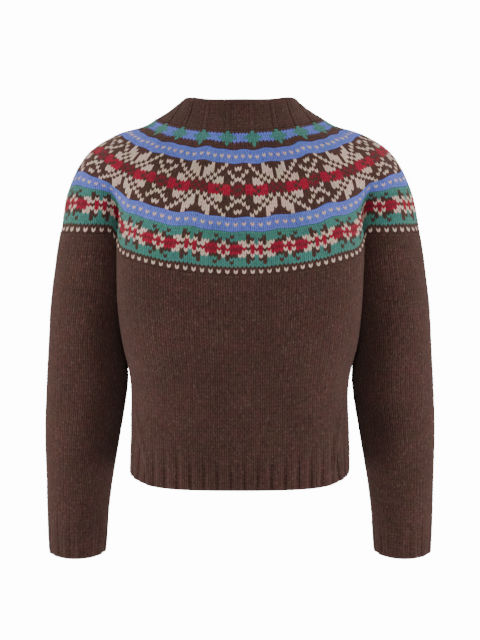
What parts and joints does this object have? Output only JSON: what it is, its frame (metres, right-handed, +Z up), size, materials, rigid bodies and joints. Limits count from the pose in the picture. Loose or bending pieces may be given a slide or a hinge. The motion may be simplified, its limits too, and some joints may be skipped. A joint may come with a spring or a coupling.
{
  "type": "fair isle jumper",
  "caption": "Cropped chunky wool jumper with a round fair isle yoke, ribbed neckband, hem and cuffs, hollow and filled out as if worn.",
  "frame": {"origin": "middle of the neck at shoulder height, where a wearer or form carries the jumper", "axes": "+Z up, the back faces -Y, the wearer's right arm is at +X"},
  "size_m": [0.5676, 0.2525, 0.6712],
  "materials": {
    "plain_wool": "heathered brown plain knit",
    "ribbed_wool": "heathered brown rib",
    "patterned_wool": "fair isle knit in brown, cream, blue, green and reds"
  },
  "bodies": {
    "root": {"neckband": "ribbed_wool", "yoke": "patterned_wool", "back_panel": "plain_wool", "front_panel": "plain_wool", "back_hem_rib": "ribbed_wool", "front_hem_rib": "ribbed_wool", "sleeve_right": "plain_wool", "sleeve_left": "plain_wool", "cuff_right": "ribbed_wool", "cuff_left": "ribbed_wool"}
  },
  "joints": []
}
